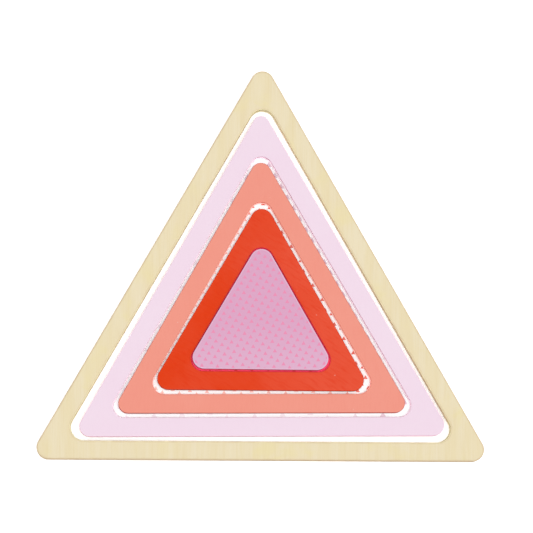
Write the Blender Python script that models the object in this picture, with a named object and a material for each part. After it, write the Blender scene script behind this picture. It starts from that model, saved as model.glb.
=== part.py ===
"""Nesting triangle tray puzzle.

Four shallow wooden trays, a natural frame and three painted ones, lie loose one inside the
other, and a solid tile lies in the middle.  Every tray is a rim glued on a thin floor board,
with a printed liner sheet on the board.  Each inner piece lifts straight up out of its tray.

Units are metres, +Z is up.  The origin is on the underside, on the frame's three-fold axis.
"""

import math
from typing import NamedTuple

import bmesh
import bpy

MM = 0.001

# Frame tray: the natural wood tray that holds all the others
FRAME_INRADIUS = 65.0 * MM  # axis to the middle of an outer side
FRAME_CORNER = 5.7 * MM  # radius of its outer corners
FRAME_BAND = 9.05 * MM  # width of its rim
FRAME_OPENING_CORNER = 6.5 * MM  # radius of its opening's corners
FRAME_HEIGHT = 11.0 * MM  # underside to the top of its rim
BASE_BOARD = 3.0 * MM  # thickness of the board under it

# Centre tile
TILE_CLEARANCE = 0.7 * MM  # gap on each side to the opening that it lies in
TILE_CORNER = 5.6 * MM
TILE_PROUD = 3.0 * MM  # stands this far above the red rim
TILE_LIE = (-0.14 * MM, 0.19 * MM, -0.20)  # across, towards the apex, and its turn in degrees
PRINT_INSET = 0.6 * MM  # bare edge of the tile round its printed face

# Sheets and boards that every tray has
TRAY_FLOOR = 1.5 * MM  # floor board of a painted tray
SHEET = 0.3 * MM  # thickness of a printed sheet
SHEET_CLEARANCE = 0.3 * MM  # liner's edge to the rim round it
GAP = 0.3 * MM  # glue line or seat between two pieces that touch

# Finish
FRAME_ROUND = 0.9 * MM  # rounding of the frame rim's top edges
PAINT_ROUND = 0.4 * MM  # rounding of the painted rims' and the tile's top edges
BOARD_ROUND = 0.4 * MM  # rounding of the boards' bottom edges
ROUND_STEPS = 2
ARC_STEPS = 8  # straight steps in each 120 degree corner
WELD = 0.01 * MM
SHARP_ANGLE = math.radians(40)


class Tray(NamedTuple):
    """A painted tray.  Lengths are in metres, and the turn is in degrees."""

    name: str
    clearance: float  # gap on each side to the opening that it lies in
    band: float  # width of its rim
    corners: tuple  # radii of its outer corners: apex, left, right
    opening_corner: float  # radius of its opening's corners
    proud: float  # its rim stands this far above the rim outside it
    lie: tuple  # where it lies loose: across, towards the apex, and its turn
    paint: tuple  # sRGB
    print_ink: tuple  # sRGB of its liner, seen from afar


PAINTED_TRAYS = (
    Tray(
        name="lavender",
        clearance=2.8 * MM,
        band=9.05 * MM,
        corners=(3.8 * MM, 5.0 * MM, 5.2 * MM),
        opening_corner=5.6 * MM,
        proud=1.0 * MM,
        lie=(0.26 * MM, -0.19 * MM, 0.49),
        paint=(0.957, 0.871, 0.925),
        print_ink=(0.95, 0.93, 0.95),
    ),
    Tray(
        name="coral",
        clearance=2.0 * MM,
        band=9.1 * MM,
        corners=(4.8 * MM, 4.8 * MM, 4.8 * MM),
        opening_corner=5.8 * MM,
        proud=1.0 * MM,
        lie=(-0.18 * MM, 0.11 * MM, 0.0),
        paint=(0.953, 0.608, 0.537),
        print_ink=(0.94, 0.86, 0.84),
    ),
    Tray(
        name="red",
        clearance=1.85 * MM,
        band=9.1 * MM,
        corners=(5.4 * MM, 5.4 * MM, 5.4 * MM),
        opening_corner=6.0 * MM,
        proud=1.0 * MM,
        lie=(-0.27 * MM, -0.04 * MM, -0.60),
        paint=(0.910, 0.290, 0.165),
        print_ink=(0.92, 0.38, 0.50),
    ),
)

WOOD = (0.929, 0.878, 0.745)
WHITE_PAPER = (0.97, 0.97, 0.97)
TILE_PAINT = (0.90, 0.71, 0.83)
TILE_PRINT = (0.89, 0.67, 0.78)


# Shapes


def linear(channel):
    """An sRGB channel as the linear value that a shader takes."""
    return channel / 12.92 if channel <= 0.04045 else ((channel + 0.055) / 1.055) ** 2.4


def finish(name, srgb, roughness):
    """A Principled material of one colour."""
    material = bpy.data.materials.new(name)
    material.use_nodes = True
    shader = material.node_tree.nodes["Principled BSDF"]
    colour = (*(linear(c) for c in srgb), 1.0)
    shader.inputs["Base Color"].default_value = colour
    shader.inputs["Roughness"].default_value = roughness
    shader.inputs["Metallic"].default_value = 0.0
    material.diffuse_color = colour
    return material


def rounded_triangle(inradius, corners):
    """Equilateral triangle, apex towards +Y, whose corners are arcs tangent to its sides.

    corners are the radii at the apex, the left and the right.  A corner's arc centre lies
    twice the remaining inradius from the axis.
    """
    points = []
    for towards, corner in zip((90, 210, 330), corners):
        facing = math.radians(towards)
        reach = 2 * (inradius - corner)
        centre = (reach * math.cos(facing), reach * math.sin(facing))
        for step in range(ARC_STEPS + 1):
            turn = facing + math.radians(120 * step / ARC_STEPS - 60)
            points.append(
                (centre[0] + corner * math.cos(turn), centre[1] + corner * math.sin(turn))
            )
    return points


def outline_mesh(name, outlines, thickness):
    """Closed mesh of a flat outline, with any holes, extruded about its middle."""
    curve = bpy.data.curves.new(name + "_outline", "CURVE")
    curve.dimensions = "2D"
    curve.fill_mode = "BOTH"
    curve.extrude = thickness / 2
    for outline in outlines:
        spline = curve.splines.new("POLY")
        spline.points.add(len(outline) - 1)
        for point, (x, y) in zip(spline.points, outline):
            point.co = (x, y, 0, 1)
        spline.use_cyclic_u = True
    drawn = bpy.data.objects.new(name + "_outline", curve)
    bpy.context.scene.collection.objects.link(drawn)
    graph = bpy.context.evaluated_depsgraph_get()
    mesh = bpy.data.meshes.new_from_object(drawn.evaluated_get(graph))
    bpy.data.objects.remove(drawn)
    bpy.data.curves.remove(curve)
    mesh.name = name
    return mesh


def round_rims(mesh, height, radius):
    """Rounds every edge where a wall meets the flat face at this height."""
    shape = bmesh.new()
    shape.from_mesh(mesh)
    bmesh.ops.remove_doubles(shape, verts=shape.verts, dist=WELD)
    if radius:
        rims = [
            edge
            for edge in shape.edges
            if all(abs(v.co.z - height) < WELD for v in edge.verts)
            and edge.calc_face_angle(0) > math.radians(80)
        ]
        bmesh.ops.bevel(
            shape, geom=rims, offset=radius, segments=ROUND_STEPS, profile=0.5, affect="EDGES"
        )
    bmesh.ops.recalc_face_normals(shape, faces=shape.faces)
    shape.to_mesh(mesh)
    shape.free()


def slab(name, outlines, bottom, top, material, holder, top_round=0.0, bottom_round=0.0):
    """A flat piece between two heights, riding on the empty that holds its tray."""
    half = (top - bottom) / 2
    mesh = outline_mesh(name, outlines, 2 * half)
    round_rims(mesh, half, top_round)
    round_rims(mesh, -half, bottom_round)
    mesh.shade_smooth()
    mesh.set_sharp_from_angle(angle=SHARP_ANGLE)
    mesh.materials.clear()
    mesh.materials.append(material)
    piece = bpy.data.objects.new(name, mesh)
    puzzle.objects.link(piece)
    piece.parent = holder
    piece.location.z = bottom + half - holder_height[holder.name]
    return piece


# Assembly


def holder_for(name, outer_holder, lie, height):
    """An empty where a loose piece lies, at the height of its underside, on its lift axis."""
    empty = bpy.data.objects.new(name + "_seat", None)
    puzzle.objects.link(empty)
    empty.parent = outer_holder
    outer_height = holder_height[outer_holder.name] if outer_holder else 0.0
    across, upwards, turn = lie
    empty.location = (across, upwards, height - outer_height)
    empty.rotation_euler.z = math.radians(turn)
    holder_height[empty.name] = height
    return empty


def make_tray(name, holder, sizes, levels, materials):
    """Rim, floor board and liner of one tray.

    sizes are the outer inradius and its corners' radii, the rounding of the top edges, then
    the opening's inradius and corner radius.  levels are the underside, the board's top and
    the rim's top.
    """
    inradius, corners, edge_round, opening, opening_corner = sizes
    underside, board_top, rim_top = levels
    paint, board, paper = materials
    outside = rounded_triangle(inradius, corners)
    inside = rounded_triangle(opening, 3 * (opening_corner,))
    sheet_corner = opening_corner - SHEET_CLEARANCE
    sheet = rounded_triangle(opening - SHEET_CLEARANCE, 3 * (sheet_corner,))
    above_board = board_top + GAP
    slab(name + "_floor", [outside], underside, board_top, board, holder, 0.0, BOARD_ROUND)
    slab(name + "_rim", [outside, inside], above_board, rim_top, paint, holder, edge_round)
    slab(name + "_liner", [sheet], above_board, above_board + SHEET, paper, holder)
    return above_board + SHEET + GAP  # where the next piece's underside rests


def make_puzzle():
    """The frame tray, each painted tray in the opening of the last, then the tile."""
    wood = finish("natural_wood", WOOD, 0.6)
    holder = holder_for("frame", None, (0.0, 0.0, 0.0), 0.0)
    opening = FRAME_INRADIUS - FRAME_BAND
    corners = 3 * (FRAME_CORNER,)
    sizes = (FRAME_INRADIUS, corners, FRAME_ROUND, opening, FRAME_OPENING_CORNER)
    paper = finish("frame_liner_paper", WHITE_PAPER, 0.7)
    rim_top = FRAME_HEIGHT
    seat = make_tray("frame", holder, sizes, (0.0, BASE_BOARD, rim_top), (wood, wood, paper))

    for tray in PAINTED_TRAYS:
        holder = holder_for(tray.name, holder, tray.lie, seat)
        inradius = opening - tray.clearance
        opening = inradius - tray.band
        rim_top += tray.proud
        paint = finish(tray.name + "_paint", tray.paint, 0.5)
        paper = finish(tray.name + "_liner_paper", tray.print_ink, 0.7)
        sizes = (inradius, tray.corners, PAINT_ROUND, opening, tray.opening_corner)
        levels = (seat, seat + TRAY_FLOOR, rim_top)
        seat = make_tray(tray.name, holder, sizes, levels, (paint, paint, paper))

    holder = holder_for("tile", holder, TILE_LIE, seat)
    inradius = opening - TILE_CLEARANCE
    tile_top = rim_top + TILE_PROUD - SHEET - GAP
    tile = rounded_triangle(inradius, 3 * (TILE_CORNER,))
    face = rounded_triangle(inradius - PRINT_INSET, 3 * (TILE_CORNER - PRINT_INSET,))
    paint = finish("tile_paint", TILE_PAINT, 0.5)
    printed = finish("tile_print_paper", TILE_PRINT, 0.5)
    slab("centre_tile", [tile], seat, tile_top, paint, holder, PAINT_ROUND, BOARD_ROUND)
    slab("centre_print", [face], tile_top + GAP, tile_top + GAP + SHEET, printed, holder)


for leftover in list(bpy.data.objects):
    bpy.data.objects.remove(leftover)

puzzle = bpy.data.collections.new("nesting_triangle_puzzle")
bpy.context.scene.collection.children.link(puzzle)
holder_height = {}
make_puzzle()
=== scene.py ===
# %% [markdown]
# # A nest of triangle trays
#
# The object is a flat wooden puzzle. A bare ply frame holds a lavender tray, which holds a coral
# tray, which holds a red tray, which holds a patterned tile. Each tray is a rim, a floor board
# and a printed sheet. Every piece is an equilateral triangle with rounded corners, so one shape
# formula makes them all, and the looks come from how wood, paint and print differ.

# %% Load the fixed frame
import math

import bpy
import numpy as np
from mathutils import Matrix, Vector


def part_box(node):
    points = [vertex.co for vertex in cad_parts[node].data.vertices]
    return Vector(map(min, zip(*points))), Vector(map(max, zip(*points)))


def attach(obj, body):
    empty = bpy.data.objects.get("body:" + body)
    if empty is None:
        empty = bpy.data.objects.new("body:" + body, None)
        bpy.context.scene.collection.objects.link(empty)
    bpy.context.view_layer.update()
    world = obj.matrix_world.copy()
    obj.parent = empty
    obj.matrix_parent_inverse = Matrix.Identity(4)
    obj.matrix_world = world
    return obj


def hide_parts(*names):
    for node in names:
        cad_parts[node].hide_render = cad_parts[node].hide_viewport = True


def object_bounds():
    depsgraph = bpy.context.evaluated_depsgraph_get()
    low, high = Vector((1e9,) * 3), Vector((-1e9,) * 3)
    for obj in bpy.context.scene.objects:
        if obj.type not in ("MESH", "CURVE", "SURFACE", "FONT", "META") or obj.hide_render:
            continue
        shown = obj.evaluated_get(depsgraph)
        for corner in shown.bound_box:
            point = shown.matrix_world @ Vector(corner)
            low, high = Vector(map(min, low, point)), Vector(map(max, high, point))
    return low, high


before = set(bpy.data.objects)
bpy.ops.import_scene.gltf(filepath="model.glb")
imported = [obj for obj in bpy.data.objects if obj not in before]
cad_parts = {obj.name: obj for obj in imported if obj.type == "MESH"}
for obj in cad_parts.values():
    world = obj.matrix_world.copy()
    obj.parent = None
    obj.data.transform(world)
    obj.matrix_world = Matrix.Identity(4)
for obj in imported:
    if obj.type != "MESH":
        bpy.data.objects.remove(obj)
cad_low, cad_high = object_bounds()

MM = 0.001
scene = bpy.context.scene

# %% [markdown]
# ## Where each piece lies
#
# The loose pieces don't lie quite centred or quite straight, so their places are read from the
# frame's solids and not written down again. A shape's support height is how far it reaches in one
# direction. Over the three directions square to the sides of a triangle, those heights add up to
# least when the directions are turned exactly as the triangle is. That gives the turn. A third of
# the sum is the inradius, what each height has over it gives the centre, and the reach towards
# each corner gives that corner's radius.

# %% Measure a rounded triangle
SIDE_WAYS = np.radians([30.0, 150.0, 270.0])
CORNER_WAYS = np.radians([90.0, 210.0, 330.0])
TURNS_TRIED = np.radians(np.arange(-2.0, 2.0001, 0.005))


def towards(angles):
    """Unit vectors at these angles from +X, in the last axis."""
    return np.stack([np.cos(angles), np.sin(angles)], axis=-1)


def footprint(points):
    """Centre, turn, inradius and corner radii of the rounded triangle round some points."""
    ways = TURNS_TRIED[:, None] + SIDE_WAYS
    heights = (points @ towards(ways).reshape(-1, 2).T).max(axis=0).reshape(ways.shape)
    best = heights.sum(axis=1).argmin()
    turn, heights = TURNS_TRIED[best], heights[best]
    inradius = heights.mean()
    centre = 2 / 3 * (heights - inradius) @ towards(turn + SIDE_WAYS)
    reach = ((points - centre) @ towards(turn + CORNER_WAYS).T).max(axis=0)
    return {"centre": centre, "turn": turn, "inradius": inradius, "corners": 2 * inradius - reach}


def node_points(node):
    """A CAD node's vertices as rows of x, y, z."""
    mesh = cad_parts[node].data
    points = np.empty(3 * len(mesh.vertices), np.float32)
    mesh.vertices.foreach_get("co", points)
    return points.reshape(-1, 3).astype(float)


def outside_of(node):
    """The footprint of a node's outer wall."""
    return footprint(node_points(node)[:, :2])


def opening_of(node):
    """The footprint of the opening in a rim, from its square lower edge."""
    points = node_points(node)
    lowest = points[points[:, 2] < points[:, 2].min() + 0.01 * MM, :2]
    outer = footprint(lowest)
    reach = ((lowest - outer["centre"]) @ towards(outer["turn"] + SIDE_WAYS).T).max(axis=1)
    return footprint(lowest[reach < (reach.min() + reach.max()) / 2])


for node in ("frame_rim", "lavender_rim", "coral_rim", "red_rim", "centre_tile"):
    seen = outside_of(node)
    radii = ", ".join(f"{radius / MM:.1f}" for radius in seen["corners"])
    print(
        f"{node}: inradius {seen['inradius'] / MM:.2f} mm, corners {radii} mm,"
        f" turned {math.degrees(seen['turn']):+.2f} degrees"
    )

# %% [markdown]
# ## One formula for every outline
#
# A rounded triangle is a sharp skeleton triangle with a disc rolled round it. Walking round it,
# the skeleton point stays still while the outward normal swings 120 degrees at a corner, and
# slides while the normal stays still along a side. An outline point is the skeleton point plus
# the disc's radius times the normal. Where two corners differ, the disc grows along the side
# between them, and the skeleton moves in by as much, so the side stays straight. Moving along
# the normal makes the edge roundings, with no overlap at the corners.

# %% Outline arrays
CORNER_STEPS = 24
SIDE_STEPS = 56


def outline(shape):
    """Skeleton points, disc radii and outward normals, one row for each step.

    Skeleton corners lie 2 * (inradius - radius) from the centre. Round corner k the normal runs
    from 60 degrees before its direction to 60 degrees after it, and then the point slides to
    corner k + 1.
    """
    swing = np.radians(np.linspace(-60, 60, CORNER_STEPS, endpoint=False))
    slide = np.linspace(0, 1, SIDE_STEPS, endpoint=False)
    ways = CORNER_WAYS + shape["turn"]
    reach = 2 * (shape["inradius"] - shape["corners"])
    corners = shape["centre"] + reach[:, None] * towards(ways)
    corners = np.concatenate([corners, shape["corners"][:, None]], axis=1)
    following = np.roll(corners, -1, axis=0)
    still = np.repeat(corners[:, None], CORNER_STEPS, axis=1)
    moving = corners[:, None] + slide[None, :, None] * (following - corners)[:, None]
    turning = ways[:, None] + swing
    straight = np.repeat(ways[:, None] + math.radians(60), SIDE_STEPS, axis=1)
    skeleton = np.concatenate([still, moving], axis=1).reshape(-1, 3)
    normals = towards(np.concatenate([turning, straight], axis=1).reshape(-1))
    return skeleton[:, :2], skeleton[:, 2:], normals


def walk(shape):
    """Points on the outline itself, and the normals there."""
    skeleton, radii, normals = outline(shape)
    return skeleton + radii * normals, normals


# %% [markdown]
# ## Carrying a profile round the outline
#
# A profile is a list of rows. Each row says how far across the piece it is (0 at the outer
# outline, 1 at the inner one or at the centre), how far it is moved along the normal, and how
# high it is. The whole grid is then one array sum. For the materials, each row also carries how
# much it faces sideways, and whether it is on the bead of glue that fills the corner between a
# rim and the sheet in its opening.

# %% Profiles
EDGE_STEPS = 7
EDGE_FADE = 1.1 * MM
BEAD_STEP = 0.02 * MM  # from the bead's face down from the sheet's, and up to the wall's foot
BEAD_GAP = 0.04 * MM  # between the bead and the edge of the sheet


def wall_rows(low, high, across, seams, groove):
    """Rows up a wall, with a shallow groove at each glue seam between plies."""
    rows = [(across, 0.0, low, 1.0), (across, 0.0, high, 1.0)]
    for seam in seams:
        sunk = -groove if across == 0 else groove
        width = 2.5 * groove
        rows += [(across, 0.0, seam - width, 1.0), (across, sunk, seam, 1.0)]
        rows += [(across, 0.0, seam + width, 1.0)]
    return sorted(rows, key=lambda row: row[2])


def fillet_rows(across, level, radius, upwards):
    """Rows round a quarter circle, from the wall to the flat face at this level.

    Out is radius * (cos a - 1) and the height is radius * (sin a - 1) from the level.
    """
    side = -1.0 if across == 0 else 1.0
    rows = []
    for angle in np.linspace(0, math.pi / 2, EDGE_STEPS + 1)[1:]:
        out = side * radius * (1 - math.cos(angle))
        drop = radius * (1 - math.sin(angle))
        rows.append((across, out, level - drop if upwards else level + drop, math.cos(angle)))
    return rows


def rim_profile(low, high, rounding, undercut, bead, seams, groove):
    """Closed profile of a rim: outer wall, top, inner wall, bead of glue, and square bottom.

    The inner wall leans back by undercut times the depth below its rounding. bead is the
    height of the bead's face, and how far that face reaches into the opening.
    """
    bead_high, reach = bead
    face = np.concatenate([[0.02, 0.06], np.linspace(0.12, 0.88, 9), [0.94, 0.98]])
    rows = wall_rows(low, high - rounding, 0, seams, groove)
    rows += fillet_rows(0, high, rounding, True)
    rows += [(t, rounding * (2 * t - 1), high, 0.0) for t in face]
    rows += fillet_rows(1, high, rounding, True)[::-1]
    rows += wall_rows(bead_high + BEAD_STEP, high - rounding, 1, seams, groove)[::-1]
    rows = np.array(rows)
    depth = np.maximum(high - rounding - rows[:, 2], 0.0)
    rows[:, 1] += undercut * depth * (rows[:, 0] == 1)
    foot = [(1, rows[-1, 1], bead_high, 0.0), (1, -reach, bead_high, 0.0), (1, -reach, low, 1.0)]
    bottom = [(t, 0.0, low, 0.0) for t in (0.75, 0.5, 0.25)]
    on_bead = np.repeat([0.0, 1.0, 0.0], [len(rows), len(foot), len(bottom)])
    return np.column_stack([np.concatenate([rows, foot, bottom]), on_bead])


def slab_profile(low, high, top_rounding, bottom_rounding, seams, groove):
    """Profile of a slab from near the centre below to near the centre above."""
    face = np.array([0.005, 0.03, 0.08, 0.16, 0.26, 0.38, 0.5, 0.62, 0.74, 0.86, 0.95])
    rows = [(t, -bottom_rounding * (1 - t), low, 0.0) for t in face[::-1]]
    if bottom_rounding:
        rows += fillet_rows(0, low, bottom_rounding, False)[::-1]
    else:
        rows += [(0, 0.0, low, 0.0)]
    wall = wall_rows(low + bottom_rounding, high - top_rounding, 0, seams, groove)
    rows += wall if bottom_rounding else wall[1:]
    if top_rounding:
        rows += fillet_rows(0, high, top_rounding, True)
    rows += [(t, -top_rounding * (1 - t), high, 0.0) for t in face]
    return np.column_stack([rows, np.zeros(len(rows))])


# %% [markdown]
# ## From a grid to a mesh
#
# The grid has one column for each step round the outline and one row for each profile row.
# Neighbours make quads. A rim's profile is closed, so its last row joins its first. A slab's first
# and last rows shrink to one centre point each, joined by a fan of triangles, so that the skin
# has no hole.

# %% Grid meshes


def lay_grid(outer, inner, profile):
    """Vertex positions, one for each profile row and outline step.

    Point = (1 - t) * outer outline + t * inner outline + out * normal, at the row's height.
    """
    (outer_points, normals), inner_points = walk(outer), inner
    t, out, height = (profile[:, k, None, None] for k in range(3))
    flat = (1 - t) * outer_points + t * inner_points + out * normals
    return np.concatenate([flat, np.broadcast_to(height, (*flat.shape[:2], 1))], axis=2)


def edge_closeness(profile, grid):
    """1 on a rounding, fading with the distance to the nearest one along the profile."""
    line = grid[:, CORNER_STEPS + SIDE_STEPS // 2]
    stride = np.linalg.norm(np.diff(line, axis=0), axis=1)
    along = np.concatenate([[0.0], np.cumsum(stride)])
    rounding = (profile[:, 3] > 0.02) & (profile[:, 3] < 0.98)
    if not rounding.any():
        return np.zeros(len(profile))
    nearest = np.abs(along[:, None] - along[None, rounding]).min(axis=1)
    return np.exp(-nearest / EDGE_FADE)


def quads_between(rows, columns, wrap):
    """Corner indices of the quads, with columns always closed into a ring."""
    low = np.arange(rows if wrap else rows - 1)[:, None]
    high = (low + 1) % rows
    left = np.arange(columns)[None, :]
    right = (left + 1) % columns
    corners = [low * columns + right, high * columns + right, high * columns + left]
    return np.stack([low * columns + left, *corners], axis=-1).reshape(-1, 4)


def make_piece(name, grid, profile, closed):
    """A mesh object from a grid, with the four attributes that the materials read."""
    rows, columns = grid.shape[:2]
    points = grid.reshape(-1, 3)
    faces = quads_between(rows, columns, closed).tolist()
    wall = profile[:, 3]
    opening = wall * (profile[:, 0] == 1)
    marks = np.stack([edge_closeness(profile, grid), wall, opening, profile[:, 4]], axis=1)
    marks = np.repeat(marks, columns, axis=0)
    if not closed:
        poles = np.stack([grid[0].mean(axis=0), grid[-1].mean(axis=0)])
        step = np.arange(columns)
        after = (step + 1) % columns
        last = (rows - 1) * columns
        first_pole = np.full(columns, len(points))
        faces += np.stack([after, step, first_pole], axis=1).tolist()
        faces += np.stack([last + step, last + after, first_pole + 1], axis=1).tolist()
        points = np.concatenate([points, poles])
        marks = np.concatenate([marks, np.zeros((2, 4))])
    mesh = bpy.data.meshes.new(name)
    mesh.from_pydata(points.tolist(), [], faces)
    for column, label in enumerate(("edge", "wall", "opening", "bead")):
        layer = mesh.attributes.new(label, "FLOAT", "POINT")
        layer.data.foreach_set("value", marks[:, column].astype(np.float32))
    mesh.shade_smooth()
    mesh.set_sharp_from_angle(angle=math.radians(38))
    mesh.update()
    piece = bpy.data.objects.new(name, mesh)
    scene.collection.objects.link(piece)
    return piece


def make_rim(name, node, liner, low, rounding, undercut=0.0, seams=(), groove=0.0):
    """A rim from a CAD rim's two outlines, standing on the board below it, round its liner."""
    outer, inner = outside_of(node), opening_of(node)
    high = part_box(node)[1].z
    slot = inner["inradius"] - outside_of(liner)["inradius"]
    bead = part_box(liner)[1].z - BEAD_STEP, slot - BEAD_GAP
    profile = rim_profile(low, high, rounding, undercut, bead, seams, groove)
    return make_piece(name, lay_grid(outer, walk(inner)[0], profile), profile, True)


def make_slab(name, node, low, high, top=0.0, bottom=0.0, seams=(), groove=0.0):
    """A board, sheet or tile from a CAD node's outline."""
    outer = outside_of(node)
    profile = slab_profile(low, high, top, bottom, seams, groove)
    return make_piece(name, lay_grid(outer, outer["centre"], profile), profile, False)


# %% [markdown]
# ## Writing materials as short sums
#
# A material is a small graph. These helpers add a node, set its sockets by name or number, and
# join them when a value is another node's socket, so that a graph reads like a formula.

# %% Graph helpers


def add(tree, kind, sockets=None, **settings):
    """One shader node, with its settings and its sockets filled in."""
    made = tree.nodes.new("ShaderNode" + kind)
    for name, value in settings.items():
        setattr(made, name, value)
    for key, value in (sockets or {}).items():
        if isinstance(value, bpy.types.NodeSocket):
            tree.links.new(value, made.inputs[key])
        else:
            made.inputs[key].default_value = value
    return made


def calc(tree, operation, a, b=0.0, c=0.0):
    """One arithmetic step."""
    return add(tree, "Math", {0: a, 1: b, 2: c}, operation=operation).outputs[0]


def vector_calc(tree, operation, a, b):
    """One arithmetic step on vectors."""
    return add(tree, "VectorMath", {0: a, 1: b}, operation=operation).outputs[0]


def fade(tree, value, start, end, low=0.0, high=1.0):
    """A smooth step of value, from low at start to high at end."""
    sockets = {"Value": value, "From Min": start, "From Max": end, "To Min": low, "To Max": high}
    return add(tree, "MapRange", sockets, interpolation_type="SMOOTHSTEP").outputs[0]


def blend(tree, amount, a, b):
    """Colour a towards colour b."""
    return add(tree, "Mix", {0: amount, 6: a, 7: b}, data_type="RGBA").outputs[2]


def mottle(tree, place, scale, detail=2.0, roughness=0.5, distortion=0.0):
    """Soft noise from 0 to 1, with scale features to a unit of place."""
    sockets = {"Vector": place, "Scale": scale, "Detail": detail}
    sockets.update({"Roughness": roughness, "Distortion": distortion})
    return add(tree, "TexNoise", sockets).outputs[0]


def turned(tree, place, angle):
    """Place turned about Z."""
    sockets = {"Vector": place, "Angle": angle}
    return add(tree, "VectorRotate", sockets, rotation_type="Z_AXIS").outputs[0]


def group(name, inputs, outputs):
    """An empty shader group. Inputs are (kind, name, default), and outputs are (kind, name)."""
    tree = bpy.data.node_groups.new(name, "ShaderNodeTree")
    for kind, label, default in inputs:
        socket = tree.interface.new_socket(label, in_out="INPUT", socket_type="NodeSocket" + kind)
        if default is not None:
            socket.default_value = default
    for kind, label in outputs:
        tree.interface.new_socket(label, in_out="OUTPUT", socket_type="NodeSocket" + kind)
    return tree, tree.nodes.new("NodeGroupInput").outputs, tree.nodes.new("NodeGroupOutput").inputs


def place_group(tree, shared, sockets):
    """A shared group inside a material or another group."""
    made = tree.nodes.new("ShaderNodeGroup")
    made.node_tree = shared
    for key, value in sockets.items():
        if isinstance(value, bpy.types.NodeSocket):
            tree.links.new(value, made.inputs[key])
        else:
            made.inputs[key].default_value = value
    return made.outputs


SPOT_LEVEL = 0.9  # what each light adds to a flat face, where daylight white is 1
LEFT_LEVEL = 0.15
RIGHT_LEVEL = 0.35
SKY_LEVEL = 0.4
LIGHT_LEVEL = SPOT_LEVEL + LEFT_LEVEL + RIGHT_LEVEL + SKY_LEVEL
GLOSS_HAZE = 0.012  # what the satin gloss adds to any colour seen from above


def pigment(red, green, blue):
    """A screen colour, 0 to 255, as a linear pigment: the screen curve undone."""
    screen = np.array([red, green, blue]) / 255
    linear = np.where(screen <= 0.04045, screen / 12.92, ((screen + 0.055) / 1.055) ** 2.4)
    return (*linear.tolist(), 1.0)


def lit(red, green, blue):
    """The pigment of a flat face that shows as this screen colour under the studio light.

    The gloss is taken off the linear colour, and the rest is divided by the light's level.
    """
    linear = np.array(pigment(red, green, blue)[:3]) - GLOSS_HAZE
    return (*(np.maximum(linear, 0.001) / LIGHT_LEVEL).tolist(), 1.0)


def new_material(name):
    """An empty Principled material, its object coordinates in millimetres, and its tree."""
    material = bpy.data.materials.new(name)
    material.use_nodes = True
    tree = material.node_tree
    shader = tree.nodes["Principled BSDF"]
    here = add(tree, "TexCoord").outputs["Object"]
    place = vector_calc(tree, "MULTIPLY", here, (1000.0, 1000.0, 1000.0))
    return material, tree, shader, place


def attribute(tree, name):
    """A number that the mesh carries."""
    return add(tree, "Attribute", attribute_name=name).outputs["Fac"]


def set_bump(tree, shader, height, depth):
    """Fine relief of this depth in metres."""
    bump = add(tree, "Bump", {"Height": height, "Strength": 1.0, "Distance": depth})
    tree.links.new(bump.outputs[0], shader.inputs["Normal"])


# %% [markdown]
# ## Effects that several finishes share
#
# Wood fibres run along the board, and they show through paint too, so one group makes long
# streaks for both. Handling rubs the rounded edges, and specks of dust get caught in paint. Both
# are groups as well, with their own amounts in each material.

# %% Streaks, rubbed edges and specks


def make_streaks():
    """Noise stretched along one direction: across it the scale is 1 / width, along it far less."""
    inputs = [
        ("Vector", "Place", None),
        ("Float", "Angle", 0.0),
        ("Float", "Width", 1.0),
        ("Float", "Length", 30.0),
        ("Float", "Wander", 0.0),
    ]
    tree, given, made = group("long_streaks", inputs, [("Float", "Streak")])
    flat = turned(tree, given["Place"], given["Angle"])
    drift = mottle(tree, vector_calc(tree, "MULTIPLY", flat, (0.03, 0.012, 0.03)), 1.0)
    drift = calc(tree, "MULTIPLY", calc(tree, "SUBTRACT", drift, 0.5), given["Wander"])
    parts = add(tree, "SeparateXYZ", {0: flat}).outputs
    sockets = {
        0: calc(tree, "DIVIDE", calc(tree, "ADD", parts[0], drift), given["Width"]),
        1: calc(tree, "DIVIDE", parts[1], given["Length"]),
        2: calc(tree, "DIVIDE", parts[2], given["Width"]),
    }
    stretched = add(tree, "CombineXYZ", sockets).outputs[0]
    tree.links.new(mottle(tree, stretched, 1.0, 3.0, 0.55), made["Streak"])
    return tree


def make_rub():
    """Edge closeness broken up by noise, so that the wear comes and goes along an edge."""
    inputs = [("Vector", "Place", None), ("Float", "Edge", 0.0), ("Float", "Start", 0.7)]
    tree, given, made = group("rubbed_edge", inputs, [("Float", "Rub")])
    broken = mottle(tree, given["Place"], 0.22, 4.0, 0.6)
    worn = calc(tree, "MULTIPLY_ADD", calc(tree, "SUBTRACT", broken, 0.5), 0.9, given["Edge"])
    sockets = {"Value": worn, "From Min": given["Start"], "From Max": 1.15}
    rub = add(tree, "MapRange", sockets, interpolation_type="SMOOTHSTEP").outputs[0]
    tree.links.new(rub, made["Rub"])
    return tree


def make_specks():
    """Round specks at random: cells of a Voronoi pattern, few of which hold a dot."""
    inputs = [("Vector", "Place", None), ("Float", "Spacing", 4.0), ("Float", "Size", 0.2)]
    tree, given, made = group("caught_specks", inputs, [("Float", "Speck")])
    scaled = add(tree, "VectorMath", {0: given["Place"], "Scale": 1.0}, operation="SCALE")
    tree.links.new(calc(tree, "DIVIDE", 1.0, given["Spacing"]), scaled.inputs["Scale"])
    cells = add(tree, "TexVoronoi", {"Vector": scaled.outputs[0], "Scale": 1.0})
    apart = calc(tree, "MULTIPLY", cells.outputs["Distance"], given["Spacing"])
    chance = add(tree, "SeparateColor", {0: cells.outputs["Color"]}).outputs[0]
    size = calc(tree, "MULTIPLY", fade(tree, chance, 0.55, 1.0), given["Size"])
    inside = calc(tree, "SUBTRACT", size, apart)
    tree.links.new(fade(tree, inside, 0.0, 0.08), made["Speck"])
    return tree


STREAKS, RUB, SPECKS = make_streaks(), make_rub(), make_specks()
print("shared effects:", ", ".join(g.name for g in (STREAKS, RUB, SPECKS)))

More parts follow.
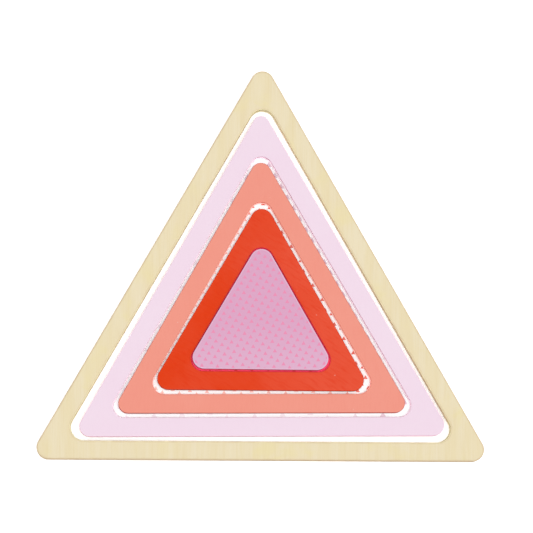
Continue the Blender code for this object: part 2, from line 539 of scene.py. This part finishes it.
# %% [markdown]
# ## The printed triangles
#
# The sheets carry small triangles on a square grid that runs along the puzzle's left side. Space
# is folded into one cell: turn to the grid, subtract the nearest grid point, and turn back. In
# the cell, the signed distance to an upright triangle is the largest of the distances to its
# three sides, so a smooth step of that distance is the ink.

# %% The print group
def make_print():
    """Ink of 1 inside upright triangles on a turned square grid, and 0 outside."""
    inputs = [
        ("Vector", "Place", None),
        ("Vector", "Start", (0.0, 0.0, 0.0)),
        ("Float", "Angle", math.radians(-30.0)),
        ("Float", "Pitch", 3.4),
        ("Float", "Side", 2.0),
    ]
    tree, given, made = group("triangle_print", inputs, [("Float", "Ink")])
    shifted = vector_calc(tree, "SUBTRACT", given["Place"], given["Start"])
    back = calc(tree, "MULTIPLY", given["Angle"], -1.0)
    grid = add(tree, "SeparateXYZ", {0: turned(tree, shifted, back)}).outputs
    fold = []
    for part in grid[:2]:
        cell = calc(tree, "ROUND", calc(tree, "DIVIDE", part, given["Pitch"]))
        fold.append(calc(tree, "SUBTRACT", part, calc(tree, "MULTIPLY", cell, given["Pitch"])))
    local = add(tree, "CombineXYZ", {0: fold[0], 1: fold[1], 2: 0.0}).outputs[0]
    x, y, _ = add(tree, "SeparateXYZ", {0: turned(tree, local, given["Angle"])}).outputs
    below = calc(tree, "MULTIPLY", y, -1.0)
    slope = calc(tree, "MULTIPLY", calc(tree, "ABSOLUTE", x), math.cos(math.radians(30)))
    slant = calc(tree, "MULTIPLY_ADD", y, 0.5, slope)
    inradius = calc(tree, "MULTIPLY", given["Side"], 1 / (2 * math.sqrt(3)))
    distance = calc(tree, "SUBTRACT", calc(tree, "MAXIMUM", below, slant), inradius)
    bleed = calc(tree, "SUBTRACT", mottle(tree, given["Place"], 6.0, 2.0), 0.5)
    distance = calc(tree, "MULTIPLY_ADD", bleed, 0.08, distance)
    tree.links.new(fade(tree, distance, 0.06, -0.06), made["Ink"])
    return tree


PRINT = make_print()

# %% [markdown]
# ## Bare ply
#
# The frame is bare ply. Its face veneer is pale and creamy, with fibres running from the base to
# the apex, wide soft bands of figure, yellow patches and short dark flecks. On the walls the
# plies show one above another: every second one has its fibres end-on, so it is darker. The saw
# leaves the outer walls browner than the face. The opening's walls and the glue bead at their
# foot are painted far paler than the face, as painted light that lifts their shade in the gap.

# %% The ply material


def ply_material(name, low, high, plies):
    """Veneer on the faces, and a stack of plies between two heights on the walls."""
    material, tree, shader, place = new_material(name)
    streak = {"Place": place, "Angle": 0.0}
    fine = place_group(tree, STREAKS, {**streak, "Width": 0.5, "Length": 18.0})[0]
    bands = {**streak, "Width": 5.0, "Length": 60.0, "Wander": 14.0}
    figure = place_group(tree, STREAKS, bands)[0]
    fleck = place_group(tree, STREAKS, {**streak, "Width": 0.25, "Length": 3.0})[0]
    patches = mottle(tree, place, 0.06, 3.0, 0.55, 0.6)
    face = blend(tree, fade(tree, figure, 0.3, 0.7), lit(238, 225, 193), lit(236, 221, 182))
    face = blend(tree, fade(tree, patches, 0.5, 0.72, 0.0, 0.7), face, lit(238, 224, 174))
    face = blend(tree, fade(tree, fine, 0.42, 0.75, 0.0, 0.3), face, lit(229, 208, 164))
    flecks = fade(tree, fleck, 0.66, 0.8, 0.0, 0.3)
    face = blend(tree, flecks, face, lit(212, 184, 138))

    height = add(tree, "SeparateXYZ", {0: place}).outputs[2]
    thickness = (high - low) / MM / plies
    level = calc(tree, "DIVIDE", calc(tree, "SUBTRACT", height, low / MM), thickness)
    odd = calc(tree, "MODULO", calc(tree, "FLOOR", level), 2.0)
    from_seam = calc(tree, "FRACT", calc(tree, "ADD", level, 0.5))
    from_seam = calc(tree, "ABSOLUTE", calc(tree, "SUBTRACT", from_seam, 0.5))
    pores = place_group(tree, STREAKS, {"Place": place, "Width": 0.35, "Length": 0.35})[0]
    sawn = blend(tree, odd, lit(232, 206, 168), lit(218, 184, 142))
    # painted light: the opening's walls get a pale pigment, far lighter than the face's, to lift
    # their shade in the narrow gap
    opening_painted_pale = blend(tree, odd, pigment(238, 238, 190), pigment(226, 223, 170))
    walls = blend(tree, attribute(tree, "opening"), sawn, opening_painted_pale)
    seams = fade(tree, from_seam, 0.06, 0.02, 0.0, 0.4)
    seams = calc(tree, "MAXIMUM", seams, fade(tree, pores, 0.45, 0.75, 0.0, 0.2))
    walls = blend(tree, seams, walls, lit(205, 165, 122))
    skin = blend(tree, fade(tree, attribute(tree, "wall"), 0.3, 0.9), face, walls)
    rub_sockets = {"Place": place, "Edge": attribute(tree, "edge"), "Start": 0.75}
    rub = place_group(tree, RUB, rub_sockets)[0]
    skin = blend(tree, calc(tree, "MULTIPLY", rub, 0.35), skin, lit(222, 198, 160))
    # painted light: the glue bead at the foot of the opening's wall is painted near white, to lift
    # the shade there
    skin = blend(tree, attribute(tree, "bead"), skin, pigment(238, 236, 228))
    tree.links.new(skin, shader.inputs["Base Color"])
    tree.links.new(fade(tree, fine, 0.2, 0.8, 0.66, 0.82), shader.inputs["Roughness"])
    shader.inputs["Specular IOR Level"].default_value = 0.2
    relief = calc(tree, "MULTIPLY_ADD", fine, 0.6, calc(tree, "MULTIPLY", flecks, -0.8))
    set_bump(tree, shader, relief, 0.05 * MM)
    return material


# %% [markdown]
# ## Painted wood
#
# The trays are sprayed and then handled. Paint isn't one flat colour: it is a little uneven, the
# fibres under it leave faint streaks, it lies thicker in some places, and its surface has a fine
# orange peel. On the red tray the streaks run slantwise, because its board was cut at a slant.
# The walls are painted light and shade: the opening's walls and the glue bead are painted pale
# to lift their shade, and the outer sides are painted darker than the face on the coral and red
# trays and paler on the lavender one. The red tray is also painted lighter towards the right,
# as a painted sheen.

# %% The paint material


def slope_of(tree, place, direction, start, end):
    """0 to 1 between two distances in millimetres along a direction in the plane."""
    along = vector_calc(tree, "MULTIPLY", place, (*direction, 0.0))
    parts = add(tree, "SeparateXYZ", {0: along}).outputs
    return fade(tree, calc(tree, "ADD", parts[0], parts[1]), start, end)


def paint_material(name, coats, walls, angle=0.0, streaks=0.5, specks=0.0, painted_sheen_slope=None, gloss=0.12):
    """Satin paint: a main colour, a darker one in the streaks and a lighter one where the coat
    lies less thick.

    coats are those three colours, and walls are the colours on the outer sides, in the opening
    and on the bead of glue, painted paler or darker than the face as painted light and shade.
    A slope, if given, is the direction and the two distances between which the coat is painted
    lighter, as a painted sheen.
    """
    main, deep, light = coats
    outside, inside, glue = walls
    material, tree, shader, place = new_material(name)
    streak = {"Place": place, "Angle": angle}
    coarse = place_group(tree, STREAKS, {**streak, "Width": 0.8, "Length": 6.0, "Wander": 6.0})[0]
    fine = place_group(tree, STREAKS, {**streak, "Width": 0.3, "Length": 2.5})[0]
    cloud = mottle(tree, place, 0.05, 3.0, 0.5, 0.4)
    peel = mottle(tree, place, 2.2, 3.0, 0.6)
    thin_coat_and_sheen = fade(tree, cloud, 0.35, 0.7, 0.0, 0.4)
    # painted light: where a slope is given, the coat is made lighter along it, as a painted sheen;
    # the cloud above is the coat's own unevenness
    if painted_sheen_slope:
        thin_coat_and_sheen = calc(tree, "MULTIPLY_ADD", slope_of(tree, place, *painted_sheen_slope), 0.8, thin_coat_and_sheen)
        thin_coat_and_sheen = calc(tree, "MINIMUM", thin_coat_and_sheen, 1.0)
    skin = blend(tree, thin_coat_and_sheen, main, light)
    skin = blend(tree, fade(tree, coarse, 0.45, 0.75, 0.0, streaks), skin, deep)
    skin = blend(tree, fade(tree, fine, 0.5, 0.8, 0.0, streaks * 0.6), skin, light)
    rub_sockets = {"Place": place, "Edge": attribute(tree, "edge"), "Start": 0.8}
    rub = place_group(tree, RUB, rub_sockets)[0]
    skin = blend(tree, calc(tree, "MULTIPLY", rub, 0.5), skin, light)
    if specks:
        caught = {"Place": place, "Spacing": 4.5, "Size": 0.28}
        dots = place_group(tree, SPECKS, caught)[0]
        skin = blend(tree, calc(tree, "MULTIPLY", dots, specks), skin, lit(250, 225, 215))
    # painted light and shade: the outer sides and the opening's walls get their own colours, paler
    # or darker than the face
    sides = blend(tree, attribute(tree, "opening"), outside, inside)
    sides = blend(tree, fade(tree, coarse, 0.3, 0.7, 0.0, 0.2), sides, skin)
    skin = blend(tree, fade(tree, attribute(tree, "wall"), 0.4, 0.95), skin, sides)
    # painted light: the glue bead gets a bright pigment, to lift the shade at the foot of the wall
    skin = blend(tree, attribute(tree, "bead"), skin, glue)
    tree.links.new(skin, shader.inputs["Base Color"])
    tree.links.new(fade(tree, cloud, 0.3, 0.7, 0.68, 0.78), shader.inputs["Roughness"])
    shader.inputs["Specular IOR Level"].default_value = gloss
    relief = calc(tree, "MULTIPLY_ADD", coarse, 0.5, peel)
    set_bump(tree, shader, relief, 0.02 * MM)
    return material


# %% [markdown]
# ## Printed sheets
#
# A liner is smooth coated paper. The ink is a touch shinier than the paper, and it isn't laid
# down evenly. On the lavender and coral sheets the ink is painted darker towards the right side,
# as painted shade at the foot of the wall there. The greyer white of those two sheets is painted
# shade for their narrow gaps, and on the tile's sheet the ground is painted lighter towards the
# base, as a painted sheen.

# %% The sheet material


TO_RIGHT_SIDE = (math.cos(math.radians(30)), math.sin(math.radians(30)))


def sheet_material(name, ground, motif=None, painted_sheen_below=None):
    """Coated paper, with printed triangles if a motif says so.

    The ground may go over to a lighter colour, as a painted sheen, given with the two distances
    towards the apex between which it does.
    motif holds the two inks, the distances towards the right side between which the faint ink
    gives way to a darker one, as painted shade, and the grid's start, angle, pitch and triangle
    side.
    """
    material, tree, shader, place = new_material(name)
    fibre = mottle(tree, place, 1.6, 4.0, 0.6)
    shade = [channel * 0.96 for channel in ground[:3]] + [1.0]
    skin = blend(tree, fade(tree, fibre, 0.35, 0.75, 0.0, 0.4), ground, shade)
    # painted light: the ground turns lighter over a stretch, as a painted sheen
    if painted_sheen_below:
        skin = blend(tree, slope_of(tree, place, (0.0, 1.0), *painted_sheen_below[1:]), skin, painted_sheen_below[0])
    roughness = fade(tree, fibre, 0.3, 0.7, 0.66, 0.74)
    if motif:
        sockets = {"Place": place, "Start": (*motif["start"], 0.0), "Angle": motif["angle"]}
        sockets.update({"Pitch": motif["pitch"], "Side": motif["side"]})
        inked = place_group(tree, PRINT, sockets)[0]
        # painted shade: the ink turns darker towards the right side
        painted_shade = slope_of(tree, place, TO_RIGHT_SIDE, *motif["shaded_between"])
        ink = blend(tree, painted_shade, motif["faint"], motif["shaded_ink"])
        uneven = fade(tree, mottle(tree, place, 3.0, 3.0, 0.7), 0.3, 0.8, 1.0, 0.85)
        skin = blend(tree, calc(tree, "MULTIPLY", inked, uneven), skin, ink)
        roughness = calc(tree, "MULTIPLY_ADD", inked, -0.06, roughness)
    tree.links.new(skin, shader.inputs["Base Color"])
    tree.links.new(roughness, shader.inputs["Roughness"])
    shader.inputs["Specular IOR Level"].default_value = 0.15
    set_bump(tree, shader, fibre, 0.01 * MM)
    return material


# %% [markdown]
# ## The frame tray
#
# Five plies make the rim and three the base board. In the solids a glue line of a few tenths of
# a millimetre parts them, and here the rim comes down to a hairline above the board, as glued
# boards do. The white sheet is let into the opening.

# %% Make the frame tray
HAIRLINE = 0.03 * MM  # glue line
GROOVE = 0.03 * MM  # depth of the seams between plies
PAPER = 0.12 * MM
FRAME_ROUNDING = 0.9 * MM
PAINT_ROUNDING = 0.4 * MM
BOARD_ROUNDING = 0.4 * MM
BASE_PLIES = 3
RIM_PLIES = 5
DRAFT = math.tan(math.radians(1.9))  # how far the frame's opening narrows downwards


def dress(piece, node, body, material):
    """Gives a piece its finish, and hands it over to the body that it moves with."""
    piece.data.materials.append(material)
    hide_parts(node)
    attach(piece, body)
    print(f"{piece.name}: {len(piece.data.polygons)} faces, stands for {node}")
    return piece


def seams_between(low, high, plies):
    """Heights of the glue seams in a stack of equal plies."""
    return tuple(np.linspace(low, high, plies + 1)[1:-1])


def make_liner(name, node, body, material):
    """A sheet as thin as paper, whose face is as high as its solid's."""
    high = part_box(node)[1].z
    sheet = make_slab(name, node, high - PAPER, high)
    return dress(sheet, node, body, material)


frame_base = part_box("frame_floor")
base_low, base_high = frame_base[0].z, frame_base[1].z
rim_low, rim_high = base_high + HAIRLINE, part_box("frame_rim")[1].z
board_ply = ply_material("bare_ply_board", base_low, base_high, BASE_PLIES)
rim_ply = ply_material("bare_ply_rim", rim_low, rim_high, RIM_PLIES)
board = make_slab(
    "ply_base_board", "frame_floor", base_low, base_high, bottom=BOARD_ROUNDING,
    seams=seams_between(base_low, base_high, BASE_PLIES), groove=GROOVE,
)
dress(board, "frame_floor", "frame", board_ply)
rim = make_rim(
    "ply_frame_rim", "frame_rim", "frame_liner", rim_low, FRAME_ROUNDING, -DRAFT,
    seams=seams_between(rim_low, rim_high, RIM_PLIES), groove=GROOVE,
)
dress(rim, "frame_rim", "frame", rim_ply)
white_paper = sheet_material("white_paper", (0.82, 0.82, 0.82, 1.0))
make_liner("white_liner_sheet", "frame_liner", "frame", white_paper)

# %% [markdown]
# ## The painted trays
#
# The three trays are the same construction in three colours, so one function makes them. What
# differs is a table: the paint, how the grain of its board runs, and what its sheet is printed
# with. Their openings widen a little downwards, as a tilted saw leaves them, and a bead of glue
# holds each sheet along its edge. The colours of the walls and of the bead are painted light and
# shade, paler or darker than the face.

# %% Make the painted trays
UNDERCUT = math.tan(math.radians(2.5))  # how far a painted tray's opening widens downwards
NO_PAINTED_SHADE = (0.0, 1.0)  # for prints of one ink, where it doesn't matter
PRINT_ANGLE = math.radians(-29.75)
TRAYS = {
    "lavender": {
        "paint": (lit(244, 221, 236), lit(240, 214, 231), lit(246, 227, 240)),
        # painted light: the outer sides, the opening's walls and the glue bead are all painted
        # paler than the face
        "walls": (pigment(250, 204, 234), pigment(255, 224, 246), pigment(246, 232, 240)),
        "handling": {"streaks": 0.25},
        # painted shade: this sheet's white is greyer than the frame's sheet, for the shade in its
        # narrower gap
        "ground": (0.77, 0.80, 0.805, 1.0),
        "motif": {
            "faint": (0.69, 0.64, 0.68, 1.0),
            # painted shade: towards the right side the ink is made darker, for the shade at the
            # foot of the wall there
            "shaded_ink": (0.56, 0.42, 0.49, 1.0),
            "shaded_between": (12.0, 40.0),
            "start": (0.0, 0.0),
            "angle": math.radians(-60.0),
            "pitch": 6.05,
            "side": 3.0,
        },
    },
    "coral": {
        "paint": (lit(243, 154, 136), lit(239, 144, 125), lit(245, 162, 145)),
        # painted shade on the outer sides, darker than the face; painted light in the opening and
        # on the glue bead
        "walls": (lit(222, 74, 56), pigment(255, 150, 132), pigment(246, 200, 190)),
        "handling": {"streaks": 0.25, "specks": 0.35},
        # painted shade: this sheet's white is greyer than the frame's sheet, for the shade in its
        # narrower gap
        "ground": (0.70, 0.71, 0.71, 1.0),
        "motif": {
            "faint": (0.68, 0.38, 0.33, 1.0),
            # painted shade: towards the right side the ink is made darker, for the shade at the
            # foot of the wall there
            "shaded_ink": (0.55, 0.085, 0.055, 1.0),
            "shaded_between": (16.0, 27.0),
            "start": (0.61, -0.17),
            "angle": PRINT_ANGLE,
            "pitch": 3.71,
            "side": 2.2,
        },
    },
    "red": {
        "paint": (lit(229, 69, 34), lit(225, 58, 25), lit(235, 90, 65)),
        # painted shade on the outer sides, darker than the face; painted light in the opening and
        # on the glue bead
        "walls": (lit(212, 60, 36), pigment(255, 60, 80), pigment(232, 62, 96)),
        "handling": {
            "angle": math.radians(-58.0),
            "streaks": 0.4,
            "specks": 0.5,
            # painted light and shade: the red is made lighter towards the right, as a painted
            # sheen, and darker towards the left, as painted shade
            "painted_sheen_slope": ((1.0, 0.1), -30.0, 42.0),
            "gloss": 0.05,
        },
        "ground": pigment(232, 62, 96),
        "motif": {
            "faint": pigment(200, 30, 45),
            "shaded_ink": pigment(200, 30, 45),
            "shaded_between": NO_PAINTED_SHADE,
            "start": (0.0, 0.0),
            "angle": PRINT_ANGLE,
            "pitch": 3.5,
            "side": 2.0,
        },
    },
}


def make_painted_tray(name, look):
    """Rim, floor board and printed sheet of one painted tray."""
    body = name + "_tray"
    floor_low, floor_high = (corner.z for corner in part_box(name + "_floor"))
    paint = paint_material(name + "_paint", look["paint"], look["walls"], **look["handling"])
    paper = sheet_material(name + "_print", look["ground"], look["motif"])
    board = make_slab(
        name + "_board", name + "_floor", floor_low, floor_high, bottom=BOARD_ROUNDING
    )
    dress(board, name + "_floor", body, paint)
    rim = make_rim(
        name + "_painted_rim", name + "_rim", name + "_liner", floor_high + HAIRLINE,
        PAINT_ROUNDING, UNDERCUT,
    )
    dress(rim, name + "_rim", body, paint)
    make_liner(name + "_liner_sheet", name + "_liner", body, paper)


for tray, look in TRAYS.items():
    make_painted_tray(tray, look)

# %% [markdown]
# ## The centre tile
#
# The tile is solid, painted a pale mauve, with its patterned sheet stuck on the face a little
# inside the edge. The tile comes up to just under the sheet, so the sheet is only as thick as
# paper. Its sides are painted a darker pink than its face, as painted shade with a painted
# reflection of the red round it, and its sheet's ground is painted lighter towards the base, as
# a painted sheen.

# %% Make the tile
tile_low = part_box("centre_tile")[0].z
print_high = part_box("centre_print")[1].z
TILE_MOTIF = {
    "faint": lit(238, 146, 182),
    "shaded_ink": lit(238, 146, 182),
    "shaded_between": NO_PAINTED_SHADE,
    "start": (-1.53, 35.03),
    "angle": math.radians(-29.7),
    "pitch": 3.385,
    "side": 2.05,
}
tile_colours = lit(231, 190, 215), lit(226, 180, 208), lit(236, 202, 224)
# painted shade: the tile's sides are a darker pink than its face, standing in for their shade and
# the red light bounced on them
tile_walls = 3 * (lit(236, 140, 184),)
tile_paint = paint_material("tile_paint", tile_colours, tile_walls, streaks=0.3)
# painted light: the print's ground turns lighter towards the base, as a painted sheen
painted_sheen_below = lit(225, 179, 206), 6.0, -26.0
tile_print = sheet_material("tile_print", lit(223, 168, 199), TILE_MOTIF, painted_sheen_below)
tile = make_slab(
    "mauve_tile", "centre_tile", tile_low, print_high - PAPER,
    top=PAINT_ROUNDING, bottom=BOARD_ROUNDING,
)
dress(tile, "centre_tile", "tile", tile_paint)
face = make_slab("tile_face_sheet", "centre_print", print_high - PAPER, print_high)
dress(face, "centre_print", "tile", tile_print)

# %% [markdown]
# ## Stage, light and camera
#
# The puzzle lies on a white sheet and is looked at from almost straight above. A broad light
# overhead reaches down into the narrow gaps, a softbox on each side evens out the walls that
# face left and right, and a white surround fills the rest, so that hardly a shadow falls outside
# the frame.

# %% The white floor
FLOOR_HALF = 6.0
floor_mesh = bpy.data.meshes.new("white_sweep")
FLOOR_DROP = 0.05 * MM  # the sweep lies this far below the puzzle
floor_corners = [(-1, -1), (1, -1), (1, 1), (-1, 1)]
floor_mesh.from_pydata(
    [(FLOOR_HALF * x, FLOOR_HALF * y, cad_low.z - FLOOR_DROP) for x, y in floor_corners],
    [],
    [(0, 1, 2, 3)],
)
floor = bpy.data.objects.new("white_sweep", floor_mesh)
scene.collection.objects.link(floor)
sweep = new_material("white_sweep")[0]
sweep_shader = sweep.node_tree.nodes["Principled BSDF"]
sweep_shader.inputs["Base Color"].default_value = (0.98, 0.98, 0.98, 1.0)
sweep_shader.inputs["Roughness"].default_value = 0.9
sweep_shader.inputs["Specular IOR Level"].default_value = 0.1
floor_mesh.materials.append(sweep)

# %% The lights
def hang_light(name, level, spread, direction):
    """A distant light that adds this level to a flat face, from a disc this many degrees wide."""
    light = bpy.data.lights.new(name, "SUN")
    down = Vector(direction).normalized()
    light.energy = math.pi * level / -down.z
    light.angle = math.radians(spread)
    lamp = bpy.data.objects.new(name, light)
    lamp.rotation_euler = down.to_track_quat("-Z", "Y").to_euler()
    scene.collection.objects.link(lamp)


hang_light("overhead_spot", SPOT_LEVEL, 25, (0.0, 0.07, -1.0))
hang_light("left_softbox", LEFT_LEVEL, 40, (0.35, -0.1, -1.0))
hang_light("right_softbox", RIGHT_LEVEL, 40, (-0.35, -0.1, -1.0))
surround = bpy.data.worlds.new("white_surround")
surround.use_nodes = True
sky = surround.node_tree.nodes["Background"].inputs
sky["Color"].default_value = (1.0, 1.0, 1.0, 1.0)
sky["Strength"].default_value = SKY_LEVEL
scene.world = surround
scene.view_settings.view_transform = "Standard"

# %% The camera
FIELD = 258.63825 * MM  # width that the camera takes in at the puzzle
DISTANCE = 2.5  # metres above the frame rim
SENSOR = 36.0  # millimetres, as is the lens
TILT = math.radians(4.0)  # from straight above towards the base
ROLL = math.radians(0.29)
AIM = Vector((2.40 * MM, -0.64 * MM, 0.0))  # a little right of the puzzle's middle
LEAN = math.radians(1.7)  # from straight above towards the left

camera_data = bpy.data.cameras.new("overhead_camera")
camera_data.sensor_width = SENSOR
camera_data.lens = SENSOR * DISTANCE / FIELD
camera_data.clip_end = 50.0
camera = bpy.data.objects.new("overhead_camera", camera_data)
scene.collection.objects.link(camera)
middle = (cad_low + cad_high) / 2 + AIM
middle.z = rim_high
back = Vector((-math.tan(LEAN), -math.tan(TILT), 1.0)).normalized()
right = Vector((0.0, 1.0, 0.0)).cross(back).normalized()
facing = Matrix((right, back.cross(right), back)).transposed()
aim = facing @ Matrix.Rotation(ROLL, 3, "Z")
camera.matrix_world = Matrix.Translation(middle + back * DISTANCE) @ aim.to_4x4()
scene.camera = camera
print(f"camera: {camera_data.lens:.0f} mm lens, {DISTANCE} m above")
